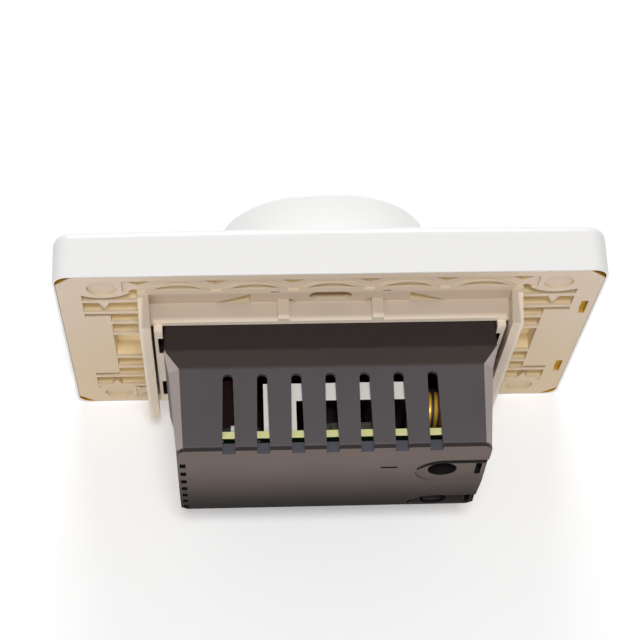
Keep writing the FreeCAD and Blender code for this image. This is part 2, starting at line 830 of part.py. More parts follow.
def rear_cover():
    flange = Part.Face(octagon(shell_end, rear_half, rear_corner, body_half_height))
    flange = flange.extrude(vec(0, rear_peak + 1 - shell_end, 0))
    bow = (body_half_height ** 2 + rear_crown ** 2) / (2 * rear_crown)
    flange = flange.common(rod_x(bow, -collar_half, collar_half, rear_peak - bow, 0))
    inset = housing_wall + cover_clearance
    plug = Part.Face(octagon(cover_inside, rear_half - inset, rear_corner, body_half_height - inset))
    plug = plug.extrude(vec(0, cover_plug, 0))
    posts = []
    for x, z in ((1, 1), (1, -1), (-1, 1)):
        posts.append(rod_y(cover_post_radius, board_rear, cover_inside + weld, x * (board_half_length - cover_post_inset),
                           z * (board_half_width - cover_post_inset)))
    lugs = [block(block_outer, weld - rear_half + inset, cover_inside, shell_end + weld, level - block_half_width,
                  level + block_half_width) for level in terminal_levels]
    body = joined([flange, plug] + posts + lugs)
    cuts = small_vents()
    edge = body_half_height - inset
    half = slot_rear_width / 2
    for x in slot_places():
        cuts.append(block(x - half, x + half, shell_end - 1, rear_peak + 1, edge, body_half_height + 1))
    for level, top in zip(terminal_levels, recess_tops):
        cuts += [terminal_recess(top), recess_groove(top)]
        cuts.append(rod_y(screw_access_radius, cover_inside - 1, rear_peak + 1, terminal_place, level))
        cuts.append(block(window_slot_place - window_slot_width / 2, window_slot_place + window_slot_width / 2,
                          cover_inside - 1, rear_peak + 1, level - window_slot_length / 2,
                          level + window_slot_length / 2))
    cuts.append(block(-dash_start - dash_length, -dash_start, rear_face(dash_level) - dash_depth, rear_peak + 1,
                      dash_level - dash_width / 2, dash_level + dash_width / 2))
    return body.cut(cuts).removeSplitter()


def circuit_board():
    """Board with a bay for the terminals and a hole for each pin noted by the other pieces."""
    body = block(-board_half_length, board_half_length, board_front, board_rear, -board_half_width, board_half_width)
    top = terminal_levels[0] + block_half_width + block_room
    bay = block(-board_half_length - 1, block_inner + block_room, board_front - 1, board_rear + 1,
                -board_half_width - 1, top)
    holes = [bay]
    cut = board_corner_cut
    for x, z in ((1, 1), (1, -1), (-1, 1), (-1, -1)):
        corner = (x * board_half_length, z * board_half_width)
        holes.append(prism([corner, (corner[0] - x * cut, corner[1]), (corner[0], corner[1] - z * cut)],
                           board_front - 1, board_rear + 1))
    for x, z, half_x, half_z in board_holes:
        c = pin_clearance
        holes.append(block(x - half_x - c, x + half_x + c, board_front - 1, board_rear + 1,
                           z - half_z - c, z + half_z + c))
    return body.cut(holes)


def rotor_front():
    return can_front + can_roof + rotor_room


def potentiometer_body():
    can = rod_y(can_radius, can_front, can_front + can_height)
    bush = rod_y(bush_radius, can_front - bush_length, can_front + weld)
    room = rod_y(rotor_radius + rotor_room, rotor_front() - rotor_room, rotor_front() + rotor_thickness + rotor_room)
    bore = rod_y(shaft_radius + shaft_clearance, can_front - bush_length - 1, rotor_front())
    pins = [board_pin(i * can_pin_spread, can_pin_level, can_front + can_height - weld) for i in (-1, 0, 1)]
    return joined([can, bush] + pins).cut([room, bore])


def potentiometer_shaft():
    shaft = rod_y(shaft_radius, shaft_tip(), rotor_front() + rotor_thickness)
    flat = block(-shaft_radius, shaft_radius, shaft_tip() - 1, shaft_tip() + shaft_flat_length,
                 shaft_radius - shaft_flat, shaft_radius + 1)
    rotor = rod_y(rotor_radius, rotor_front(), rotor_front() + rotor_thickness)
    return joined([shaft.cut(flat), rotor])


def potentiometer_washer():
    washer = rod_y(washer_radius, bracket_front - washer_thickness, bracket_front)
    return washer.cut(rod_y(bush_radius + bush_clearance, bracket_front - washer_thickness - 1, bracket_front + 1))


def potentiometer_nut():
    corner = nut_across_flats / math.sqrt(3)
    rear = bracket_front - washer_thickness
    points = [(corner * math.cos(math.radians(60 * i)), corner * math.sin(math.radians(60 * i))) for i in range(6)]
    nut = prism(points, rear - nut_thickness, rear)
    return nut.cut(rod_y(bush_radius + shaft_clearance, rear - nut_thickness - 1, rear + 1))


def potentiometer_bracket():
    rear = can_front + bracket_rim
    body = block(bracket_left, bracket_right, bracket_front, rear, -bracket_half_width, bracket_half_width)
    t = bracket_rim_wall
    body = body.cut(block(bracket_left + t, bracket_right - t, can_front, rear + 1,
                          -bracket_half_width + t, bracket_half_width - t))
    leg = block(bracket_leg_start, bracket_right, can_front, board_front, bracket_half_width - t, bracket_half_width)
    start, low, high = bracket_back_leg
    back_leg = block(start, start + t, can_front, board_front, low, high)
    body = joined([body, leg, flipped(leg, vec(0, 0, 1)), back_leg])
    return body.cut(rod_y(bush_radius + bush_clearance, bracket_front - 1, can_front + 1))


def terminal_block():
    bodies, cuts = [], []
    for level in terminal_levels:
        bodies.append(block(block_outer, block_inner, block_bottom, block_top,
                            level - block_half_width, level + block_half_width))
        cuts.append(block(cage_bay_outer, cage_bay_inner, block_bottom - 1, shelf_bottom,
                          level - cage_bay_half, level + cage_bay_half))
        cuts.append(rod_y(well_radius, shelf_top, block_top + 1, terminal_place, level))
        cuts.append(rod_y(screw_shank_radius + 2 * screw_clearance, shelf_bottom - 1, shelf_top + 1,
                          terminal_place, level))
        cuts.append(rod_x(wire_radius, block_outer - 1, cage_bay_outer + 1, wire_level, level))
        reach = strap_half_width + strap_clearance
        cuts.append(block(cage_bay_inner - 1, block_inner + 1, chamber_top - strap_clearance,
                          strap_top + strap_clearance, level - reach, level + reach))
    low, high = sorted(terminal_levels)
    bodies.append(block(cage_bay_outer, block_inner, block_bottom, block_bottom + bridge_height,
                        low + block_half_width - weld, high - block_half_width + weld))
    bodies.append(block(cage_bay_inner, block_inner + ledge_length, board_front - ledge_thickness, board_front,
                        *ledge_levels))
    bodies.append(block(cage_bay_inner, block_inner, block_bottom, board_front, *ledge_levels))
    return joined(bodies).cut(cuts)


def terminal_contacts():
    """Two straps under the clamping cages, each with a tail through the board."""
    straps = []
    for level in terminal_levels:
        flat = block(cage_bay_outer + strap_clearance, strap_tail + strap_thickness, chamber_top, strap_top,
                     level - strap_half_width, level + strap_half_width)
        tail = block(strap_tail, strap_tail + strap_thickness, chamber_top, board_rear + pin_past_board,
                     level - strap_half_width, level + strap_half_width)
        board_holes.append((strap_tail + strap_thickness / 2, level, strap_thickness / 2, strap_half_width))
        straps.append(joined([flat, tail]))
    return Part.makeCompound(straps)


def terminal_clamp(level):
    x0, x1 = terminal_place - cage_length / 2, terminal_place + cage_length / 2
    body = block(x0, x1, cage_bottom, cage_top, level - cage_half_width, level + cage_half_width)
    inner = cage_half_width - cage_wall
    window = block(x0 - 1, x1 + 1, chamber_bottom, cage_roof, level - inner, level + inner)
    thread = rod_y(screw_shank_radius + screw_clearance, cage_roof - 1, cage_top + 1, terminal_place, level)
    return body.cut([window, thread])


def terminal_screw(level):
    seat = shelf_top + screw_clearance
    head = rod_y(screw_head_radius, seat, seat + screw_head_thickness, terminal_place, level)
    head = head.makeChamfer(0.3, [e for e in head.Edges if e.BoundBox.YMin > seat + screw_head_thickness - 0.1])
    shank = rod_y(screw_shank_radius, strap_top + cage_lift, seat + weld, terminal_place, level)
    top = seat + screw_head_thickness
    slot = block(terminal_place - screw_head_radius - 1, terminal_place + screw_head_radius + 1,
                 top - screw_slot_depth, top + 1, level - screw_slot_width / 2, level + screw_slot_width / 2)
    return joined([head, shank]).cut(slot)


def choke_core():
    return rod_x(choke_rod_radius, choke_left, choke_left + choke_length, choke_axis, choke_level)


def coil_radius():
    return choke_rod_radius + choke_wire_seat + choke_wire_radius


def coil_point(turn, start, pitch):
    """Point on the winding after so many turns, which begin at its far side and run forward first."""
    angle = -math.pi / 2 - 2 * math.pi * turn
    r = coil_radius()
    return vec(start + pitch * turn, choke_axis + r * math.cos(angle), choke_level + r * math.sin(angle))


def coil_heading(turn, pitch):
    """Unit direction of the winding at that point."""
    angle = -math.pi / 2 - 2 * math.pi * turn
    round_trip = 2 * math.pi * coil_radius()
    return vec(pitch, round_trip * math.sin(angle), -round_trip * math.cos(angle)).normalize()


def half_turn(turn, start, pitch):
    """Two arcs that meet smoothly and follow half of one turn."""
    a, b = coil_point(turn, start, pitch), coil_point(turn + 0.5, start, pitch)
    ta, tb = coil_heading(turn, pitch), coil_heading(turn + 0.5, pitch)
    chord, along = b - a, ta + tb
    spread = 2 * (1 - ta.dot(tb))
    reach = (math.sqrt(chord.dot(along) ** 2 + spread * chord.dot(chord)) - chord.dot(along)) / spread
    knee_a, knee_b = a + ta * reach, b - tb * reach
    meet = (knee_a + knee_b) / 2
    arcs = []
    for p, knee, r in ((a, knee_a, meet), (meet, knee_b, b)):
        half = (knee - p).getAngle(r - knee) / 2
        middle = (p + r) / 2
        share = math.cos(half) / (1 + math.cos(half))
        arcs.append(Part.Arc(p, middle + (knee - middle) * share, r).toShape())
    return arcs


def least_coil_gap(start, pitch, steps):
    """Smallest clear distance between the wire and itself one turn on."""
    least = pitch
    for i in range(int((choke_turns - 0.5) * steps)):
        here, there = coil_point(i / steps, start, pitch), coil_point(i / steps + 1, start, pitch)
        least = min(least, here.distanceToPoint(there))
    return least - 2 * choke_wire_radius


def choke_winding():
    pitch = 2 * choke_wire_radius + choke_wire_gap
    turns = choke_turns + 0.5
    start = choke_left + (choke_length - pitch * turns) / 2
    first, last = coil_point(0, start, pitch), coil_point(turns, start, pitch)
    foot = board_rear + pin_past_board
    edges = [Part.makeLine(vec(first.x, foot, first.z), first)]
    for i in range(int(turns * 2)):
        edges += half_turn(i / 2, start, pitch)
    edges.append(Part.makeLine(last, vec(last.x, foot, last.z)))
    path = Part.Wire(edges)
    corners = []
    for i in range(choke_wire_sides + 1):
        angle = 2 * math.pi * i / choke_wire_sides
        corners.append(vec(first.x + choke_wire_radius * math.cos(angle), foot,
                           first.z + choke_wire_radius * math.sin(angle)))
    tube = path.makePipeShell([Part.makePolygon(corners)], True, False)
    for end in (first, last):
        board_holes.append((end.x, end.z, choke_wire_radius, choke_wire_radius))
    length = sum(e.Length for e in edges)
    section = choke_wire_sides / 2 * choke_wire_radius ** 2 * math.sin(2 * math.pi / choke_wire_sides)
    share = tube.Volume / (section * length)
    print("choke wire %.1f mm, least gap %.2f mm, volume share %.3f" % (length, least_coil_gap(start, pitch, 16), share))
    return tube


def box_capacitor(size, place, spread):
    """Boxed capacitor with chamfered front edges and two pins."""
    (sx, sy, sz), (x, z) = size, place
    body = block(x - sx / 2, x + sx / 2, board_front - sy, board_front, z - sz / 2, z + sz / 2)
    body = body.makeChamfer(film_chamfer, [e for e in body.Edges if e.BoundBox.YMax < board_front - 0.1])
    pins = [board_pin(x, z + side * spread, board_front - weld) for side in (-1, 1)]
    return joined([body] + pins)


def thermal_fuse():
    x, z = thermal_fuse_place
    level = board_front - thermal_fuse_radius
    body = rod_x(thermal_fuse_radius, x - thermal_fuse_length / 2, x + thermal_fuse_length / 2, level, z)
    return joined([body] + lead_pair(thermal_fuse_place, thermal_fuse_length / 2 - 0.2, True, level))


def control_chip():
    (sx, sy, sz), (x, z) = chip_size, chip_place
    rear = board_front - chip_lift
    body = block(x - sx / 2, x + sx / 2, rear - sy, rear, z - sz / 2, z + sz / 2)
    pieces = [body]
    for i in range(4):
        px = x + (i - 1.5) * chip_pin_pitch
        for side in (-1, 1):
            pieces.append(board_pin(px, z + side * (sz / 2 - pin_half), rear - weld))
    return joined(pieces)


def electrolytic_capacitor():
    x, z = electrolytic_place
    body = rod_y(electrolytic_radius, board_front - electrolytic_height, board_front, x, z)
    groove_level = board_front - 1.5
    ring = rod_y(electrolytic_radius + 1, groove_level - electrolytic_groove, groove_level + electrolytic_groove, x, z)
    ring = ring.cut(rod_y(electrolytic_radius - electrolytic_groove, groove_level - 1, groove_level + 1, x, z))
    pins = [board_pin(x + side * electrolytic_pin_spread, z, board_front - weld) for side in (-1, 1)]
    return joined([body.cut(ring)] + pins)


def varistor():
    x, z = varistor_place
    level = board_front - varistor_lift - varistor_radius
    body = rod_z(varistor_radius, z - varistor_thickness / 2, z + varistor_thickness / 2, x, level)
    body = body.makeChamfer(varistor_chamfer, [e for e in body.Edges if len(e.Vertexes) == 1])
    pins = [board_pin(x + side * varistor_radius / 2, z, level + varistor_radius / 2) for side in (-1, 1)]
    return joined([body] + pins)


def fuse_axis():
    return board_front - fuse_lift - fuse_radius - clip_thickness


def fuse_tube():
    x, z = fuse_place
    half = fuse_length / 2 - fuse_cap_wall
    return rod_x(fuse_radius - fuse_cap_wall, x - half, x + half, fuse_axis(), z)


def fuse_caps():
    """Metal cup on each end of the fuse's tube."""
    x, z = fuse_place
    caps = []
    for side in (-1, 1):
        x0, x1 = sorted((x + side * fuse_length / 2, x + side * (fuse_length / 2 - fuse_cap_length)))
        room = fuse_length / 2 - fuse_cap_wall + fuse_cap_clearance
        hollow = rod_x(fuse_radius - fuse_cap_wall + fuse_cap_clearance, x - room, x + room, fuse_axis(), z)
        caps.append(rod_x(fuse_radius, x0, x1, fuse_axis(), z).cut(hollow))
    return Part.makeCompound(caps)


def fuse_clips():
    """Two sprung clips that hold the fuse by its caps."""
    clips = []
    x, z = fuse_place
    for side in (-1, 1):
        cx = x + side * (fuse_length - fuse_cap_length) / 2
        half = fuse_cap_length / 2 - 0.5
        outer = rod_x(fuse_radius + clip_thickness + shaft_clearance, cx - half, cx + half, fuse_axis(), z)
        inner = rod_x(fuse_radius + shaft_clearance, cx - half - 1, cx + half + 1, fuse_axis(), z)
        mouth = block(cx - half - 1, cx + half + 1, fuse_axis() - 2 * fuse_radius, fuse_axis() - fuse_radius / 2,
                      z - fuse_radius - 2, z + fuse_radius + 2)
        ring = outer.cut([inner, mouth])
        foot = fuse_axis() + fuse_radius + shaft_clearance + clip_thickness / 2
        pin = board_pin(cx, z, foot)
        clips.append(joined([ring, pin]))
    return Part.makeCompound(clips)


def axial_group(spots, radius, length):
    pieces = []
    for x, z in spots:
        level = board_front - radius
        body = rod_z(radius, z - length / 2, z + length / 2, x, level)
        pieces.append(joined([body] + lead_pair((x, z), length / 2 - 0.2, False, level)))
    return Part.makeCompound(pieces)


def sink_rear():
    return board_front - sink_foot


def screw_level():
    """Height of the triac's fixing hole."""
    return board_front - triac_lift - triac_body_height - triac_tab_height / 2


def heat_sink():
    front = sink_rear() - sink_height
    plate = block(sink_left, sink_right, front, sink_rear(), sink_level, sink_level + sink_thickness)
    fold = block(sink_left, sink_right, front, front + sink_thickness, sink_level - sink_fold, sink_level + sink_thickness)
    feet = [block(x - 0.8, x + 0.8, sink_rear() - weld, board_front, sink_level, sink_level + sink_thickness)
            for x in (sink_left + 2, sink_right - 2)]
    body = joined([plate, fold] + feet)
    return body.cut(rod_z(triac_screw_radius + screw_clearance, sink_level - 1, sink_level + sink_thickness + 1,
                          triac_centre, screw_level()))


def triac():
    x0, x1 = triac_centre - triac_width / 2, triac_centre + triac_width / 2
    bottom = board_front - triac_lift
    body = block(x0, x1, bottom - triac_body_height, bottom, sink_level - triac_body_thickness, sink_level)
    tab_front = bottom - triac_body_height - triac_tab_height
    tab = block(x0, x1, tab_front, bottom - 1, sink_level - triac_tab_thickness, sink_level)
    pin_level = sink_level - triac_body_thickness * 0.6
    pins = [board_pin(triac_centre + i * triac_pin_pitch, pin_level, bottom - weld) for i in (-1, 0, 1)]
    hole = rod_z(triac_screw_radius + screw_clearance, sink_level - triac_body_thickness - 1, sink_level + 1,
                 triac_centre, screw_level())
    return joined([body, tab] + pins).cut(hole)


def triac_screw():
    far = sink_level - triac_tab_thickness
    head = rod_z(triac_screw_head, far - triac_screw_head_thickness, far, triac_centre, screw_level())
    shank = rod_z(triac_screw_radius, far - weld, sink_level + sink_thickness + 1.5, triac_centre, screw_level())
    slot = block(triac_centre - triac_screw_head - 1, triac_centre + triac_screw_head + 1, screw_level() - 0.4,
                 screw_level() + 0.4, far - triac_screw_head_thickness - 1, far - triac_screw_head_thickness / 2)
    return joined([head, shank]).cut(slot)


def save(name, shape):
    shape.exportStep("parts/%s.step" % name)


def main():
    os.makedirs("parts", exist_ok=True)
    pieces = {
        "front_plate": front_plate(),
        "knob": knob(),
        "knob_insert": knob_insert(),
        "mounting_frame": mounting_frame(),
        "housing_shell": housing_shell(),
        "rear_cover": rear_cover(),
        "potentiometer_body": potentiometer_body(),
        "potentiometer_shaft": potentiometer_shaft(),
        "potentiometer_washer": potentiometer_washer(),
        "potentiometer_nut": potentiometer_nut(),
        "potentiometer_bracket": potentiometer_bracket(),
        "terminal_block": terminal_block(),
        "terminal_contacts": terminal_contacts(),
        "choke_core": choke_core(),
        "choke_winding": choke_winding(),
        "film_capacitor": box_capacitor(film_size, film_place, film_pin_spread),
        "snubber_capacitor": box_capacitor(snubber_size, snubber_place, snubber_pin_spread),
        "thermal_fuse": thermal_fuse(),
        "control_chip": control_chip(),
        "electrolytic_capacitor": electrolytic_capacitor(),
        "varistor": varistor(),
        "fuse_tube": fuse_tube(),
        "fuse_caps": fuse_caps(),
        "fuse_clips": fuse_clips(),
        "resistors": axial_group(resistor_spots, resistor_radius, resistor_length),
        "diodes": axial_group(diode_spots, diode_radius, diode_length),
        "heat_sink": heat_sink(),
        "triac": triac(),
        "triac_screw": triac_screw(),
    }
    for number, level in enumerate(terminal_levels, 1):
        pieces["terminal_clamp_%d" % number] = terminal_clamp(level)
        pieces["terminal_screw_%d" % number] = terminal_screw(level)
    pieces["circuit_board"] = circuit_board()
    for name, shape in pieces.items():
        save(name, shape)
        print("%-24s solids %d valid %s volume %.1f" % (name, len(shape.Solids), shape.isValid(), shape.Volume))


main()
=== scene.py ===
import math

import bpy
from mathutils import Euler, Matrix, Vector


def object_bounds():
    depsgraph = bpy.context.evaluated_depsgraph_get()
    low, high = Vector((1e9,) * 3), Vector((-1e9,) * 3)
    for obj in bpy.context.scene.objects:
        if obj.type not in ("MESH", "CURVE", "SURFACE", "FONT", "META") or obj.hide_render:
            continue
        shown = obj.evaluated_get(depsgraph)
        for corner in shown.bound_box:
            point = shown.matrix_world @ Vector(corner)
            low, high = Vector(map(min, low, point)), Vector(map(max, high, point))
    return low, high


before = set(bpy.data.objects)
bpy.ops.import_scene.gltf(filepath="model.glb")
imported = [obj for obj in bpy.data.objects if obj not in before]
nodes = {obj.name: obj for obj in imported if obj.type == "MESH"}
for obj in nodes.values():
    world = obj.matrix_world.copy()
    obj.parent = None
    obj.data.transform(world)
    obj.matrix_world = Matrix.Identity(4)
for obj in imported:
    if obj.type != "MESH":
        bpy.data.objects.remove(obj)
cadLow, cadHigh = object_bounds()
mm = 0.001
collection = bpy.context.scene.collection
print("frame loaded:", len(nodes), "nodes")


def tone(colour):
    # a 0..255 screen colour as the linear value that a shader wants
    def channel(v):
        v /= 255
        return v / 12.92 if v <= 0.04045 else ((v + 0.055) / 1.055) ** 2.4
    return tuple(channel(v) for v in colour) + (1.0,)


cameraSetup = {
    "place": (22.371, 157.260, 369.978),  # mm, behind the plate and high above it
    "turn": (23.764, -2.4004, 177.9712),  # degrees about X, Y and Z
    "lens": 99.2,
    "nearest": 0.01,                      # m
    "farthest": 50,
}


def makeCamera(setup):
    data = bpy.data.cameras.new("camera")
    camera = bpy.data.objects.new("camera", data)
    collection.objects.link(camera)
    camera.location = Vector(setup["place"]) * mm
    camera.rotation_euler = Euler([math.radians(a) for a in setup["turn"]])
    data.lens = setup["lens"]
    data.clip_start = setup["nearest"]
    data.clip_end = setup["farthest"]
    bpy.context.scene.camera = camera
    bpy.context.scene.view_settings.view_transform = "Standard"


makeCamera(cameraSetup)


def feed(tree, value, socket):
    # an output is linked to the socket, and a number or colour is set on it
    if isinstance(value, bpy.types.NodeSocket):
        tree.links.new(value, socket)
    elif value is not None:
        socket.default_value = value


def mathNode(tree, operation, a, b=None, clamp=False):
    node = tree.nodes.new("ShaderNodeMath")
    node.operation = operation
    node.use_clamp = clamp
    feed(tree, a, node.inputs[0])
    feed(tree, b, node.inputs[1])
    return node.outputs[0]


def mixColour(tree, factor, a, b, blend="MIX"):
    node = tree.nodes.new("ShaderNodeMix")
    node.data_type = "RGBA"
    node.blend_type = blend
    for value, index in ((factor, 0), (a, 6), (b, 7)):  # the sockets that a colour mix uses
        feed(tree, value, node.inputs[index])
    return node.outputs[2]


def noiseNode(tree, coordinates, scale, detail):
    node = tree.nodes.new("ShaderNodeTexNoise")
    feed(tree, coordinates, node.inputs["Vector"])
    feed(tree, scale, node.inputs["Scale"])
    feed(tree, detail, node.inputs["Detail"])
    return node.outputs["Fac"]


def seenRays(tree):
    # 1 where the camera looks at the surface, also in a reflection or through the clear glass
    path = tree.nodes.new("ShaderNodeLightPath")
    seen = path.outputs["Is Camera Ray"]
    for ray in ("Is Glossy Ray", "Is Transmission Ray"):
        seen = mathNode(tree, "MAXIMUM", seen, path.outputs[ray])
    return seen


floorSetup = {
    "level": cadLow[2],  # m, the plate stands on its lower long edge
    "size": 6.0,         # m across
    "tone": (240, 240, 240),
    "lift": 0.24,        # extra light of the floor as the camera sees it
}


def makeFloor(setup):
    mesh = bpy.data.meshes.new("floor")
    half, level = setup["size"] / 2, setup["level"]
    corners = [(x * half, y * half, level) for x, y in ((-1, -1), (1, -1), (1, 1), (-1, 1))]
    mesh.from_pydata(corners, [], [(0, 1, 2, 3)])
    floor = bpy.data.objects.new("floor", mesh)
    collection.objects.link(floor)
    material = bpy.data.materials.new("floorPaper")
    material.use_nodes = True
    mesh.materials.append(material)
    tree = material.node_tree
    tree.nodes.clear()
    paper = tree.nodes.new("ShaderNodeBsdfDiffuse")
    paper.inputs["Color"].default_value = tone(setup["tone"])
    glow = tree.nodes.new("ShaderNodeEmission")
    feed(tree, mathNode(tree, "MULTIPLY", seenRays(tree), setup["lift"]), glow.inputs["Strength"])
    both = tree.nodes.new("ShaderNodeAddShader")
    end = tree.nodes.new("ShaderNodeOutputMaterial")
    feed(tree, paper.outputs[0], both.inputs[0])
    feed(tree, glow.outputs[0], both.inputs[1])
    feed(tree, both.outputs[0], end.inputs["Surface"])


skySetup = {
    "light": 0.36,  # strength of the world on the object
    "seen": 1.0,    # and where the camera sees it
}


def makeSky(setup):
    world = bpy.data.worlds.new("studio")
    bpy.context.scene.world = world
    world.use_nodes = True
    tree = world.node_tree
    tree.nodes.clear()
    level = tree.nodes.new("ShaderNodeMapRange")
    level.inputs["To Min"].default_value = setup["light"]
    level.inputs["To Max"].default_value = setup["seen"]
    feed(tree, seenRays(tree), level.inputs["Value"])
    background = tree.nodes.new("ShaderNodeBackground")
    feed(tree, level.outputs[0], background.inputs["Strength"])
    end = tree.nodes.new("ShaderNodeOutputWorld")
    feed(tree, background.outputs[0], end.inputs["Surface"])


lampSetup = {
    # name: place in m, aim in m, size in m, watts
    "top": ((0.0, 0.22, 0.95), (0, 0.01, 0), 0.22, 4.0),
    "front": ((0.0, -0.93, 0.36), (0, 0, 0), 0.5, 4.8),
    "rear": ((0.15, 0.95, 0.3), (0, 0.02, 0), 0.5, 3.2),
}


def makeLamp(name, place, aim, size, watts):
    data = bpy.data.lights.new(name, "AREA")
    data.shape = "DISK"
    data.size = size
    data.energy = watts
    lamp = bpy.data.objects.new(name, data)
    lamp.location = place
    lamp.rotation_euler = (Vector(aim) - Vector(place)).to_track_quat("-Z", "Y").to_euler()
    collection.objects.link(lamp)


makeFloor(floorSetup)
makeSky(skySetup)
for lampName, values in lampSetup.items():
    makeLamp(lampName, *values)
print("camera, floor and lamps set")


def makeGroup(name, inputs, outputs):
    # an empty shader group with named sockets, where an input may have its usual value
    group = bpy.data.node_groups.new(name, "ShaderNodeTree")
    for label, kind, value in inputs:
        socket = group.interface.new_socket(label, in_out="INPUT", socket_type=kind)
        if value is not None:
            socket.default_value = value
    for label, kind in outputs:
        group.interface.new_socket(label, in_out="OUTPUT", socket_type=kind)
    start = group.nodes.new("NodeGroupInput")
    end = group.nodes.new("NodeGroupOutput")
    return group, start, end


grainSetup = {
    "scale": 2500.0,       # until a material gives its own
    "detail": 3.0,
    "mottleScale": 60.0,
    "mottleDetail": 4.0,
}


def makeGrainGroup(setup):
    # fine moulded or sandblasted grain for the bump, and a slow mottle for the colour
    group, start, end = makeGroup(
        "mouldGrain",
        [("Vector", "NodeSocketVector", None), ("Grain Scale", "NodeSocketFloat", setup["scale"]),
         ("Mottle Scale", "NodeSocketFloat", setup["mottleScale"])],
        [("Height", "NodeSocketFloat"), ("Mottle", "NodeSocketFloat")])
    place = start.outputs["Vector"]
    grain = noiseNode(group, place, start.outputs["Grain Scale"], setup["detail"])
    mottle = noiseNode(group, place, start.outputs["Mottle Scale"], setup["mottleDetail"])
    feed(group, grain, end.inputs["Height"])
    feed(group, mottle, end.inputs["Mottle"])
    return group


edgeSetup = {
    "radius": 0.0003,      # m, until a material gives its own
    "gain": 4.0,
    "samples": 6,
    "wearAndHighlightScale": 700.0,
    "wearAndHighlightDetail": 3.0,
}


def makeEdgeGroup(setup):
    # a mask of the sharp edges, broken up by noise, for wear and a painted highlight, and the normal that
    # rounds them
    group, start, end = makeGroup(
        "edgeMask",
        [("Vector", "NodeSocketVector", None), ("Radius", "NodeSocketFloat", setup["radius"]),
         ("Gain", "NodeSocketFloat", setup["gain"]), ("Wear And Highlight Scale", "NodeSocketFloat", setup["wearAndHighlightScale"])],
        [("Mask", "NodeSocketFloat"), ("Normal", "NodeSocketVector")])
    bevel = group.nodes.new("ShaderNodeBevel")
    bevel.samples = setup["samples"]
    feed(group, start.outputs["Radius"], bevel.inputs["Radius"])
    geometry = group.nodes.new("ShaderNodeNewGeometry")
    dot = group.nodes.new("ShaderNodeVectorMath")
    dot.operation = "DOT_PRODUCT"
    feed(group, bevel.outputs[0], dot.inputs[0])
    feed(group, geometry.outputs["Normal"], dot.inputs[1])
    bent = mathNode(group, "SUBTRACT", 1.0, dot.outputs["Value"])
    wornAndHighlighted = noiseNode(group, start.outputs["Vector"], start.outputs["Wear And Highlight Scale"], setup["wearAndHighlightDetail"])
    amount = mathNode(group, "MULTIPLY", bent, start.outputs["Gain"])
    feed(group, mathNode(group, "MULTIPLY", amount, wornAndHighlighted, clamp=True), end.inputs["Mask"])
    feed(group, bevel.outputs[0], end.inputs["Normal"])
    return group


grainGroup = makeGrainGroup(grainSetup)
edgeGroup = makeEdgeGroup(edgeSetup)
turned = (0.4, 0.6)  # share of a face's normal along an axis, where its tone starts and is full


class Surface:
    # one material with the object's own coordinates and a Principled shader

    def __init__(self, name):
        self.material = bpy.data.materials.new(name)
        self.material.use_nodes = True
        self.tree = self.material.node_tree
        self.shader = self.tree.nodes["Principled BSDF"]
        place = self.tree.nodes.new("ShaderNodeTexCoord")
        self.coordinates = place.outputs["Object"]
        self.x, self.y, self.z = self.split(self.coordinates)
        self.lookX, self.lookY, self.lookZ = self.split(place.outputs["Normal"])

    def split(self, vector):
        node = self.tree.nodes.new("ShaderNodeSeparateXYZ")
        self.tree.links.new(vector, node.inputs[0])
        return node.outputs[0], node.outputs[1], node.outputs[2]

    def link(self, source, socket):
        self.tree.links.new(source, self.shader.inputs[socket])

    def grain(self, scale, height, normal=None):
        # puts the grain, its height in mm, on the shader and gives the mottle
        node = self.tree.nodes.new("ShaderNodeGroup")
        node.node_tree = grainGroup
        node.inputs["Grain Scale"].default_value = scale
        self.tree.links.new(self.coordinates, node.inputs["Vector"])
        bump = self.tree.nodes.new("ShaderNodeBump")
        bump.inputs["Distance"].default_value = height * mm
        bump.inputs["Strength"].default_value = 1.0
        self.tree.links.new(node.outputs["Height"], bump.inputs["Height"])
        if normal is not None:
            self.tree.links.new(normal, bump.inputs["Normal"])
        self.link(bump.outputs[0], "Normal")
        return node.outputs["Mottle"]

    def edges(self, radius, gain):
        node = self.tree.nodes.new("ShaderNodeGroup")
        node.node_tree = edgeGroup
        node.inputs["Radius"].default_value = radius * mm
        node.inputs["Gain"].default_value = gain
        self.tree.links.new(self.coordinates, node.inputs["Vector"])
        return node.outputs["Mask"], node.outputs["Normal"]

    def step(self, value, start, end):
        # 0 on start's side and 1 on end's side, whichever of the two is higher
        node = self.tree.nodes.new("ShaderNodeMapRange")
        node.interpolation_type = "SMOOTHSTEP"
        node.inputs["From Min"].default_value = start
        node.inputs["From Max"].default_value = end
        self.tree.links.new(value, node.inputs["Value"])
        return node.outputs[0]

    def band(self, value, start, end):
        # the same along one of the object's axes, in mm
        return self.step(value, start * mm, end * mm)

    def between(self, value, low, high, soft):
        # 1 from low to high, in mm, with soft ends
        return self.both(self.band(value, low - soft, low + soft), self.band(value, high + soft, high - soft))

    def both(self, *masks):
        first, *others = masks
        for mask in others:
            first = mathNode(self.tree, "MULTIPLY", first, mask)
        return first

    def either(self, a, b):
        return mathNode(self.tree, "MAXIMUM", a, b)

    def plain(self, value):
        # the value without its sign
        return mathNode(self.tree, "ABSOLUTE", value)

    def blend(self, factor, a, b):
        return mixColour(self.tree, factor, tone(a), tone(b))

    def tint(self, base, mask, colour):
        # lays a tone over base where the mask is 1
        return mixColour(self.tree, mask, base, tone(colour))

    def speckle(self, base, mottle, gain):
        return mixColour(self.tree, mottle, base, (gain, gain, gain, 1.0), "MULTIPLY")

    def finish(self, base, setup):
        self.link(base, "Base Color")
        self.shader.inputs["Roughness"].default_value = setup["roughness"]
        self.shader.inputs["Specular IOR Level"].default_value = setup["specular"]
        return self.material


def startPlastic(name, setup):
    # a surface with its grain and softened edges, and the masks of both; the edge mask lightens edges by wear
    # and a painted highlight
    surface = Surface(name)
    edge, normal = surface.edges(*setup["edgeWearAndHighlight"])
    mottle = surface.grain(*setup["grain"], normal)
    return surface, edge, mottle


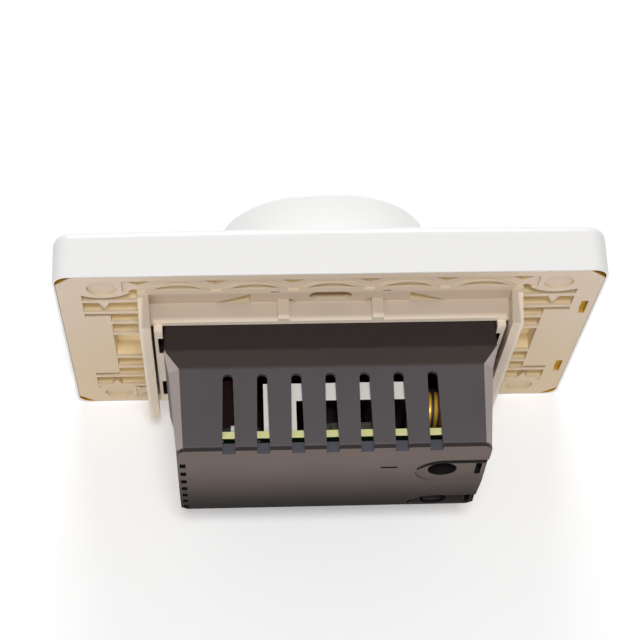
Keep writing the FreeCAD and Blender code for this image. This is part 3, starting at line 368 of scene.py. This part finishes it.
plasticColumns = ("body", "mottle", "edge", "roughness", "specular", "grain", "edgeWearAndHighlight")
plasticSetup = {
    # three tones, the third on edges as wear and a painted highlight, roughness, specular level, grain as
    # scale and height in mm, edges as radius in mm and gain
    "knobPlastic": ((247, 247, 245), (249, 249, 248), (251, 251, 250), 0.28, 0.5, (900, 0.002), (0.25, 4)),
    "blackPlastic": ((22, 21, 22), (27, 26, 26), (60, 58, 58), 0.45, 0.15, (2600, 0.01), (0.1, 4)),
    "maroonCase": ((30, 8, 8), (36, 10, 9), (74, 30, 27), 0.5, 0.1, (1500, 0.004), (0.2, 4)),
    "blackAnodised": ((24, 24, 26), (29, 29, 30), (52, 52, 54), 0.5, 0.2, (1400, 0.004), (0.1, 4)),
    "blueCoating": ((36, 66, 122), (42, 76, 134), (70, 104, 160), 0.3, 0.4, (900, 0.01), (0.2, 4)),
    "beigeCoating": ((196, 170, 128), (204, 180, 140), (214, 194, 160), 0.4, 0.4, (900, 0.01), (0.2, 4)),
    "resinChip": ((66, 70, 56), (74, 78, 62), (96, 100, 84), 0.5, 0.2, (1400, 0.004), (0.1, 4)),
    "ferriteRod": ((52, 52, 56), (62, 62, 66), (90, 90, 94), 0.6, 0.3, (2200, 0.02), (0.1, 4)),
}


def makePlastic(name):
    setup = dict(zip(plasticColumns, plasticSetup[name]))
    surface, edge, mottle = startPlastic(name, setup)
    base = surface.blend(mottle, setup["body"], setup["mottle"])
    return surface.finish(surface.tint(base, edge, setup["edge"]), setup)


nylonSetup = {
    "whiteFuse": (20.2, 21.9),  # mm along the plate, the stretch of the thermal fuse that shows white
    "fuseSoft": 0.05,
    # painted shade, near black, on the white nylon inside the housing
    "nylonShade": (13, 12, 13),
    "white": (242, 238, 230),
    "mottle": (246, 243, 236),
    "grain": (1800, 0.006),
    "roughness": 0.45,
    "specular": 0.3,
}


def makeNylon(name, setup):
    # white where it shows in the vent slots, painted shade near black elsewhere inside the housing
    surface = Surface(name)
    mottle = surface.grain(*setup["grain"])
    if name == "bracketNylon":
        seen = surface.step(surface.lookZ, *turned)
    else:
        seen = surface.between(surface.x, *setup["whiteFuse"], setup["fuseSoft"])
    white = surface.blend(mottle, setup["white"], setup["mottle"])
    return surface.finish(mixColour(surface.tree, seen, tone(setup["nylonShade"]), white), setup)


plateSetup = {
    "body": (240, 239, 238),
    "mottle": (243, 242, 240),
    # edges lighter by wear and a painted highlight
    "edge": (249, 249, 248),
    "inside": (178, 150, 112),    # painted shade, tan on the white plastic, in the closed space behind the front, seen through the frame's slots
    "insideWall": (-0.5, -2.0),   # mm, place times facing, below zero where a wall looks inward
    "insideFace": (-0.3, -0.5),   # mm behind the wall plane, for the faces that look backward
    "corner": (198, 152, 44),     # painted ochre shade at the frame's cut corners
    "cornerPlace": (50.0, 54.0),  # mm from the middle, along the plate
    "grain": (900, 0.002),
    "edgeWearAndHighlight": (0.25, 4),
    "roughness": 0.3,
    "specular": 0.5,
}


def makePlate(setup):
    surface, edge, mottle = startPlastic("whitePlastic", setup)
    base = surface.blend(mottle, setup["body"], setup["mottle"])
    base = surface.tint(base, edge, setup["edge"])
    # the closed space behind the front and the cut corners get painted shade
    outward = mathNode(surface.tree, "ADD", surface.both(surface.x, surface.lookX),
                       surface.both(surface.z, surface.lookZ))
    face = surface.both(surface.band(surface.y, *setup["insideFace"]), surface.step(surface.lookY, *turned))
    inside = surface.either(surface.band(outward, *setup["insideWall"]), face)
    corner = surface.band(surface.plain(surface.x), *setup["cornerPlace"])
    hidden = surface.blend(corner, setup["inside"], setup["corner"])
    return surface.finish(mixColour(surface.tree, inside, base, hidden), setup)


shellSetup = {
    "collarShade": (37, 29, 27),        # painted shade: the band next to the skirt is darker, and the shoulder after it less so, where the plate shades them
    "shoulder": (52, 44, 41),
    "body": (80, 75, 77),
    "chamferHighlight": (164, 152, 149),    # painted highlight on the slanted corners
    # edges lighter by wear and a painted highlight
    "edge": (150, 138, 136),
    "shoulderPlace": (9.9, 10.5),  # mm behind the wall plane
    "bodyPlace": (13.9, 14.9),
    "slant": (0.25, 0.4),          # share of the normal along X and along Z
    "speckle": 1.25,
    "grain": (2600, 0.012),
    "edgeWearAndHighlight": (0.2, 4),
    "roughness": 0.45,
    "specular": 0.2,
}


def makeShell(setup):
    surface, edge, mottle = startPlastic("darkPlastic", setup)
    shoulder = surface.band(surface.y, *setup["shoulderPlace"])
    body = surface.band(surface.y, *setup["bodyPlace"])
    slanted = [surface.step(surface.plain(look), *setup["slant"]) for look in (surface.lookX, surface.lookZ)]
    # painted shade darkens the collar and the shoulder
    base = surface.blend(shoulder, setup["collarShade"], setup["shoulder"])
    base = surface.tint(base, body, setup["body"])
    # painted highlight on the slanted corners of the shoulder and body
    base = surface.tint(base, surface.both(*slanted, shoulder), setup["chamferHighlight"])
    base = surface.speckle(base, mottle, setup["speckle"])
    return surface.finish(surface.tint(base, surface.both(edge, body), setup["edge"]), setup)


coverSetup = {
    "top": (107, 96, 91),            # painted light: lighter near the upper long edge of the rear face
    "foot": (14, 10, 9),             # painted shade: near black near the lower long edge, where the face turns down
    "fade": (-21.0, 16.0),           # mm up the wall
    "shade": (22, 17, 16),           # sunk line along the upper side of the two terminal fields
    "shadeDepth": (33.45, 33.35),    # mm behind the wall plane, the rear face lies further back
    "shadeWidth": 3.5,
    "shadeSoft": 0.2,
    "shadeEndSoft": 0.1,
    "fieldPlace": -24.4,             # mm, centre of the fields' round ends along the plate
    "fieldCentres": (5.8, -18.1),    # and up the wall
    "fieldRadius": 6.4,
    "inner": (30, 26, 26),           # painted shade, near black, on the walls of the holes and the cover's other sides
    "plug": (84, 82, 90),            # the part in the slots, its side that looks up
    "plugPlace": (17.3, 18.9, 0.1),  # mm up the wall, and the soft ends
    "seamShade": (56, 51, 50),            # painted shade: the upper side of the rim as a dark line next to the shell
    "seamPlace": (19.0, 19.2),
    "rearFace": (0.4, 0.8),          # share of the normal that points backward
    # edges of the rear face lighter by wear and a painted highlight
    "edge": (172, 158, 150),
    "speckle": 1.25,
    "grain": (2600, 0.014),
    "edgeWearAndHighlight": (0.15, 4),
    "roughness": 0.5,
    "specular": 0.02,
}


def fieldShade(surface, setup):
    # 1 in the sunk line over each terminal field and round its closed end
    tree, width, radius = surface.tree, setup["shadeWidth"], setup["fieldRadius"]
    soft, endSoft = setup["shadeSoft"], setup["shadeEndSoft"]
    upper, lower = (centre * mm for centre in setup["fieldCentres"])
    isUpper = mathNode(tree, "GREATER_THAN", surface.z, (upper + lower) / 2)
    alongZ = mathNode(tree, "SUBTRACT", surface.z, lower - width * mm)
    alongZ = mathNode(tree, "SUBTRACT", alongZ, mathNode(tree, "MULTIPLY", isUpper, upper - lower))
    alongX = mathNode(tree, "SUBTRACT", surface.x, setup["fieldPlace"] * mm)
    squares = [mathNode(tree, "POWER", surface.either(value, 0.0), 2.0) for value in (alongX, alongZ)]
    reach = mathNode(tree, "SQRT", mathNode(tree, "ADD", *squares))
    top, end = radius + width, setup["fieldPlace"] + radius
    return surface.both(surface.band(reach, radius - soft, radius + soft),
                        surface.band(surface.y, *setup["shadeDepth"]),
                        surface.band(alongZ, top + endSoft, top),
                        surface.band(surface.x, end + endSoft, end))


def makeCover(setup):
    surface, edge, mottle = startPlastic("coverPlastic", setup)
    # the rear face carries painted light and shade, lighter at the top and near black at the foot
    rear = surface.blend(surface.band(surface.z, *setup["fade"]), setup["foot"], setup["top"])
    rear = surface.tint(rear, fieldShade(surface, setup), setup["shade"])
    side = surface.blend(surface.between(surface.z, *setup["plugPlace"]), setup["inner"], setup["plug"])
    side = surface.tint(side, surface.band(surface.z, *setup["seamPlace"]), setup["seamShade"])
    backward = surface.step(surface.lookY, *setup["rearFace"])
    base = surface.speckle(mixColour(surface.tree, backward, side, rear), mottle, setup["speckle"])
    return surface.finish(surface.tint(base, surface.both(edge, backward), setup["edge"]), setup)


creamSetup = {
    # places in mm: depths behind the wall plane, levels up and down from the middle of the plate,
    # and reaches along it from the middle
    "high": (217, 198, 177),            # the rear face near the plate's upper edge
    "low": (210, 187, 152),             # and near its lower edge, yellower
    "fade": (-28, 30),                  # from the lower half to the upper
    "shaded": (194, 175, 155),          # strip between the skirt and the scallops
    "shadedLevels": (21.5, 26.5, 0.8),  # with the soft ends
    "shadedReach": (41, 38),
    # painted light: the pockets lighter and yellower, which lifts their shade
    "pocket": (240, 220, 178),
    "pocketDepth": (-0.9, -1.6),
    "skirt": (220, 203, 183),
    "skirtDepth": (0.2, 1.2),
    "step": (210, 193, 164),            # painted shade: low steps of the rear face that look up
    "stepDepth": (-0.8, -0.45),
    "upwardShade": (196, 182, 165),          # painted shade: faces of the skirt that look up the wall
    "upwardDepth": (-0.1, 0.0),
    "brimHighlight": (238, 224, 206),            # painted highlight: the skirt's rearmost strip
    "brimDepth": (3.0, 4.3),
    "brimReach": (38.4, 38.2),
    "cheekHighlight": (238, 225, 208),           # painted highlight: outer half of the two tall walls
    "cheekReach": (40.0, 40.8),
    "cheekDepth": (0.5, 1.0),
    "mottle": (206, 184, 158),
    "mottleShare": 0.3,
    # edges lighter by wear and a painted highlight
    "edge": (238, 226, 210),
    "ochre": (190, 148, 40),            # painted ochre shade in the small pockets beside one short edge, and the cut corners
    "ochrePlace": (-57.2, -56.1, 0.05),  # along the plate
    "ochreDepth": (-0.1, -0.3),
    "cornerReach": (88.8, 89.2),        # level and reach added up
    "prySlotShade": (196, 164, 120),         # painted shade inside the slot in the middle of the long edge
    "pryReach": (4.8, 4.7),
    "pryLevels": (22.7, 26.7, 0.05),
    "pryDepth": (-0.3, -1.2),
    "slitShade": (20, 12, 9),                # painted shade, near black, in the slits beside the housing
    "slitReach": (36.2, 37.5, 0.02),
    "slitLevels": (8.1, 16.7, 0.02),
    "slitDepth": (5.95, 5.8),
    "grain": (1900, 0.008),
    "edgeWearAndHighlight": (0.2, 3),
    "roughness": 0.45,
    "specular": 0.35,
}


def makeCream(setup):
    surface, edge, mottle = startPlastic("creamPlastic", setup)
    tree, depth = surface.tree, surface.y
    reach, level = surface.plain(surface.x), surface.plain(surface.z)
    base = surface.blend(surface.band(surface.z, *setup["fade"]), setup["low"], setup["high"])
    strip = surface.both(surface.between(level, *setup["shadedLevels"]),
                         surface.band(reach, *setup["shadedReach"]))
    base = surface.tint(base, strip, setup["shaded"])
    base = surface.tint(base, surface.band(depth, *setup["pocketDepth"]), setup["pocket"])
    base = surface.tint(base, surface.band(depth, *setup["skirtDepth"]), setup["skirt"])
    # faces that look up take painted shade: the step tone, the upward tone on the skirt, the pocket tone
    # deeper
    sunk = surface.blend(surface.band(depth, *setup["stepDepth"]), setup["pocket"], setup["step"])
    upwardShade = surface.tint(sunk, surface.band(depth, *setup["upwardDepth"]), setup["upwardShade"])
    base = mixColour(tree, surface.step(surface.lookZ, *turned), base, upwardShade)
    brimHighlight = surface.both(surface.band(depth, *setup["brimDepth"]), surface.band(reach, *setup["brimReach"]))
    base = surface.tint(base, brimHighlight, setup["brimHighlight"])
    cheekHighlight = surface.both(surface.band(reach, *setup["cheekReach"]), surface.band(depth, *setup["cheekDepth"]))
    base = surface.tint(base, cheekHighlight, setup["cheekHighlight"])
    base = surface.tint(base, mathNode(tree, "MULTIPLY", mottle, setup["mottleShare"]), setup["mottle"])
    base = surface.tint(base, edge, setup["edge"])
    corners = surface.band(mathNode(tree, "ADD", reach, level), *setup["cornerReach"])
    ochre = surface.either(surface.between(surface.x, *setup["ochrePlace"]), corners)
    base = surface.tint(base, surface.both(ochre, surface.band(depth, *setup["ochreDepth"])), setup["ochre"])
    prySlotShade = surface.both(surface.band(reach, *setup["pryReach"]),
                           surface.between(level, *setup["pryLevels"]),
                           surface.band(depth, *setup["pryDepth"]))
    base = surface.tint(base, prySlotShade, setup["prySlotShade"])
    slitShade = surface.both(surface.between(reach, *setup["slitReach"]),
                        surface.between(level, *setup["slitLevels"]),
                        surface.band(depth, *setup["slitDepth"]))
    return surface.finish(surface.tint(base, slitShade, setup["slitShade"]), setup)


metalSetup = {
    # name: colour, roughness, grain scale, metallic share
    "nickelSteel": ((190, 188, 184), 0.28, 900, 1.0),
    "brass": ((214, 172, 92), 0.3, 900, 1.0),
    "copperWire": ((235, 185, 70), 0.4, 600, 0.5),
}
metalMottle = {
    "grainHeight": 0.004,  # mm
    "darkest": 0.7,        # of the colour
    "darkShare": 0.5,
    "roughnessShare": 0.2,
}


def makeMetal(name, mottling):
    body, roughness, scale, share = metalSetup[name]
    surface = Surface(name)
    tree = surface.tree
    mottle = surface.grain(scale, mottling["grainHeight"])
    bright = tone(body)
    dark = tuple(c * mottling["darkest"] for c in bright[:3]) + (1.0,)
    darker = mathNode(tree, "MULTIPLY", mottle, mottling["darkShare"])
    surface.link(mixColour(tree, darker, bright, dark), "Base Color")
    uneven = mathNode(tree, "MULTIPLY", mottle, mottling["roughnessShare"])
    surface.link(mathNode(tree, "ADD", uneven, roughness - mottling["roughnessShare"] / 2), "Roughness")
    surface.shader.inputs["Metallic"].default_value = share
    return surface.material


boardSetup = {
    # each tone and the tone of its mottle
    "edge": ((238, 238, 176), (226, 226, 158)),  # pale yellow-green where the laminate is cut
    "lacquer": ((20, 46, 30), (28, 60, 38)),     # green on both faces
    "faceShare": 0.7,                            # of a face's normal
    "grain": (1500, 0.006),
    "roughness": 0.45,
    "specular": 0.2,
}


def makeBoard(setup):
    surface = Surface("boardLaminate")
    mottle = surface.grain(*setup["grain"])
    face = mathNode(surface.tree, "GREATER_THAN", surface.plain(surface.lookY), setup["faceShare"])
    edge, lacquer = surface.blend(mottle, *setup["edge"]), surface.blend(mottle, *setup["lacquer"])
    return surface.finish(mixColour(surface.tree, face, edge, lacquer), setup)


canSetup = {
    "body": (16, 14, 15),
    "mottle": (22, 20, 21),
    "foot": (84, 86, 74),       # greyer where the can meets the board
    "footPlace": (22.8, 23.6),  # mm behind the wall plane
    "grain": (1400, 0.004),
    "roughness": 0.5,
    "specular": 0.15,
}


def makeCan(setup):
    surface = Surface("darkCan")
    mottle = surface.grain(*setup["grain"])
    base = surface.blend(mottle, setup["body"], setup["mottle"])
    base = surface.tint(base, surface.band(surface.y, *setup["footPlace"]), setup["foot"])
    return surface.finish(base, setup)


glassSetup = {
    "tone": (235, 242, 240),
    "roughness": 0.05,
}


def makeGlass(setup):
    surface = Surface("fuseGlass")
    surface.shader.inputs["Base Color"].default_value = tone(setup["tone"])
    surface.shader.inputs["Roughness"].default_value = setup["roughness"]
    surface.shader.inputs["Transmission Weight"].default_value = 1.0
    return surface.material


materials = {name: makePlastic(name) for name in plasticSetup}
materials.update({name: makeMetal(name, metalMottle) for name in metalSetup})
materials.update({name: makeNylon(name, nylonSetup) for name in ("bracketNylon", "fuseNylon")})
materials["darkPlastic"] = makeShell(shellSetup)
materials["coverPlastic"] = makeCover(coverSetup)
materials["creamPlastic"] = makeCream(creamSetup)
materials["whitePlastic"] = makePlate(plateSetup)
materials["boardLaminate"] = makeBoard(boardSetup)
materials["darkCan"] = makeCan(canSetup)
materials["fuseGlass"] = makeGlass(glassSetup)
print("materials made:", len(materials))


finishes = {
    "whitePlastic": ("front_plate",),
    "knobPlastic": ("knob",),
    "creamPlastic": ("mounting_frame",),
    "darkPlastic": ("housing_shell",),
    "coverPlastic": ("rear_cover",),
    "boardLaminate": ("circuit_board",),
    "darkCan": ("potentiometer_body",),
    "bracketNylon": ("potentiometer_bracket",),
    "fuseNylon": ("thermal_fuse",),
    "nickelSteel": ("potentiometer_washer", "potentiometer_shaft", "fuse_caps", "triac_screw",
                    "terminal_screw_1", "terminal_screw_2"),
    "brass": ("potentiometer_nut", "knob_insert", "terminal_contacts", "fuse_clips",
              "terminal_clamp_1", "terminal_clamp_2"),
    "copperWire": ("choke_winding",),
    "ferriteRod": ("choke_core",),
    "blackPlastic": ("terminal_block", "snubber_capacitor", "electrolytic_capacitor", "diodes", "triac"),
    "blackAnodised": ("heat_sink",),
    "maroonCase": ("film_capacitor",),
    "resinChip": ("control_chip",),
    "blueCoating": ("varistor",),
    "beigeCoating": ("resistors",),
    "fuseGlass": ("fuse_tube",),
}

for finish, names in finishes.items():
    for name in names:
        mesh = nodes[name].data
        mesh.materials.clear()
        mesh.materials.append(materials[finish])
print("finishes put on the frame")
